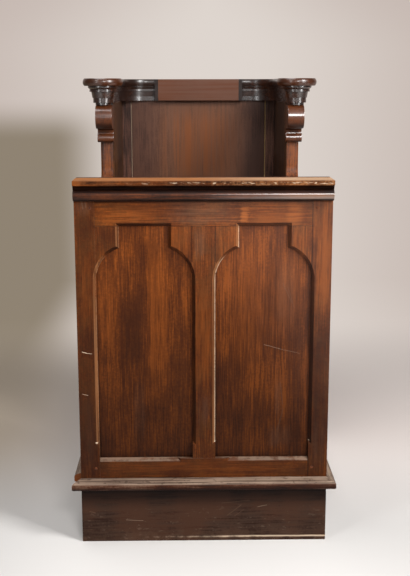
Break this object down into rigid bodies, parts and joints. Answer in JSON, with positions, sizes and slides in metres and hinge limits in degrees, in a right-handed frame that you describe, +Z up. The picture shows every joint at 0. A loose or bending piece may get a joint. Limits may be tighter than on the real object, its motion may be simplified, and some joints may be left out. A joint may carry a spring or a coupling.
{
  "type": "choir stall",
  "caption": "Single wooden choir stall on a platform, with a panelled reading desk in front, moulded capping with round arm ends and a tip-up seat.",
  "frame": {"origin": "floor level under the middle of the whole object", "axes": "+Z up, the desk front faces -Y and the stall's back is towards +Y, +X to the right as seen from the front"},
  "size_m": [0.7348, 1.272, 1.2],
  "materials": {
    "platform_wood": "dusty worn dark-stained oak",
    "raw_wood": "unfinished sawn oak",
    "hinge_iron": "dull dark iron",
    "panel_wood": "dark varnished oak with streaky grain",
    "capping_wood": "dark glossy oak, worn by hands",
    "desk_wood": "dark varnished oak",
    "stall_wood": "dark varnished oak"
  },
  "bodies": {
    "stall": {"arm_capping_left": "capping_wood", "arm_capping_right": "capping_wood", "back_bottom_rail": "stall_wood", "back_panel": "panel_wood", "back_stile_left": "stall_wood", "back_stile_right": "stall_wood", "bead_moulding": "desk_wood", "book_board": "desk_wood", "book_lip": "desk_wood", "book_shelf": "desk_wood", "capping_block": "capping_wood", "desk_bottom_rail": "desk_wood", "desk_end_left": "desk_wood", "desk_end_right": "desk_wood", "desk_ledge": "desk_wood", "desk_muntin": "desk_wood", "desk_panel_left": "panel_wood", "desk_panel_right": "panel_wood", "desk_stile_left": "desk_wood", "desk_stile_right": "desk_wood", "desk_top_rail": "desk_wood", "floorboard_1": "platform_wood", "floorboard_2": "platform_wood", "floorboard_3": "platform_wood", "floorboard_4": "platform_wood", "floorboard_5": "platform_wood", "floorboard_6": "platform_wood", "hinge_pin_left": "hinge_iron", "hinge_pin_right": "hinge_iron", "hinge_rail": "stall_wood", "hinge_rail_leaf_left": "hinge_iron", "hinge_rail_leaf_right": "hinge_iron", "joist_1": "raw_wood", "joist_2": "raw_wood", "joist_3": "raw_wood", "nosing_front": "platform_wood", "nosing_left": "platform_wood", "nosing_right": "platform_wood", "plinth_back": "platform_wood", "plinth_front": "platform_wood", "plinth_side_left": "platform_wood", "plinth_side_right": "platform_wood", "scroll_bracket_left": "stall_wood", "scroll_bracket_right": "stall_wood", "seat_bearer_left": "raw_wood", "seat_bearer_right": "raw_wood", "shelf_cleat_left": "raw_wood", "shelf_cleat_right": "raw_wood", "spandrel_inner_left": "desk_wood", "spandrel_inner_right": "desk_wood", "spandrel_outer_left": "desk_wood", "spandrel_outer_right": "desk_wood", "standard_left": "stall_wood", "standard_right": "stall_wood"},
    "seat": {"seat": "stall_wood", "misericord": "stall_wood", "hinge_seat_leaf_left": "hinge_iron", "hinge_seat_leaf_right": "hinge_iron"}
  },
  "joints": [
    {"name": "seat_tip", "type": "hinge", "parent": "stall", "child": "seat", "pos_m": [0, 0.537, 0.607], "axis": [-1, 0, 0], "range_deg": [0, 101]}
  ]
}
